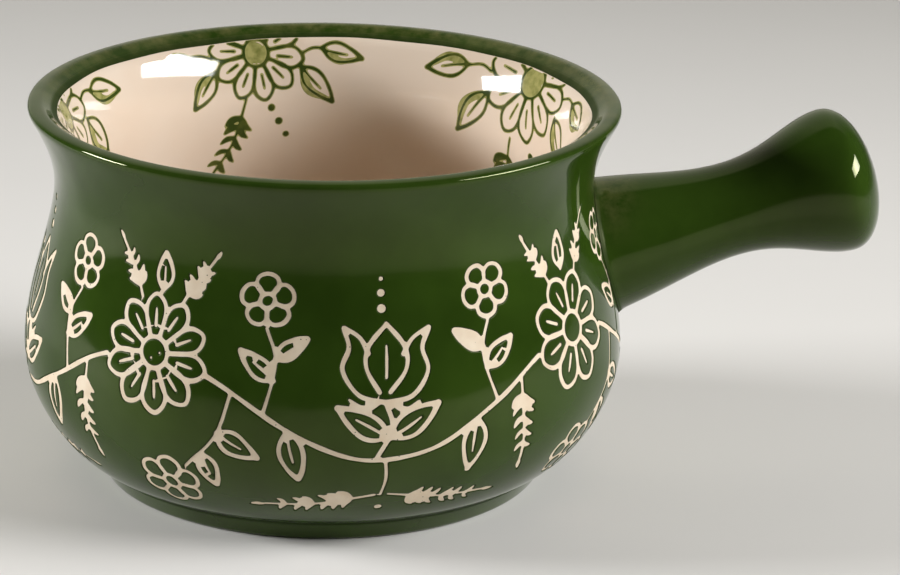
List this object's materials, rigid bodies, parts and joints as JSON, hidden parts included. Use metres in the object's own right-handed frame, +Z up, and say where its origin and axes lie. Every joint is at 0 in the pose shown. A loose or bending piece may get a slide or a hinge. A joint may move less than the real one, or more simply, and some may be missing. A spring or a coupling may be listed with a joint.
{
  "type": "handled bowl",
  "caption": "Glazed stoneware soup bowl with a round belly, drawn-in neck, flared lip, foot ring and a hollow stick handle that rises from its side.",
  "frame": {"origin": "on the table, under the middle of the whole object's length and width", "axes": "+X along the handle and away from the bowl, +Z up along the bowl's axis"},
  "size_m": [0.192, 0.1334, 0.085],
  "materials": {
    "stoneware": "bare fired clay, matt",
    "slip": "bare fired slip, matt",
    "green_glaze": "deep green, glossy",
    "cream_glaze": "cream, glossy"
  },
  "bodies": {
    "root": {"bowl_body": "stoneware", "handle_body": "stoneware", "handle_luting_slip": "slip", "outer_glaze": "green_glaze", "handle_glaze": "green_glaze", "base_glaze": "green_glaze", "liner_glaze": "cream_glaze"}
  },
  "joints": []
}
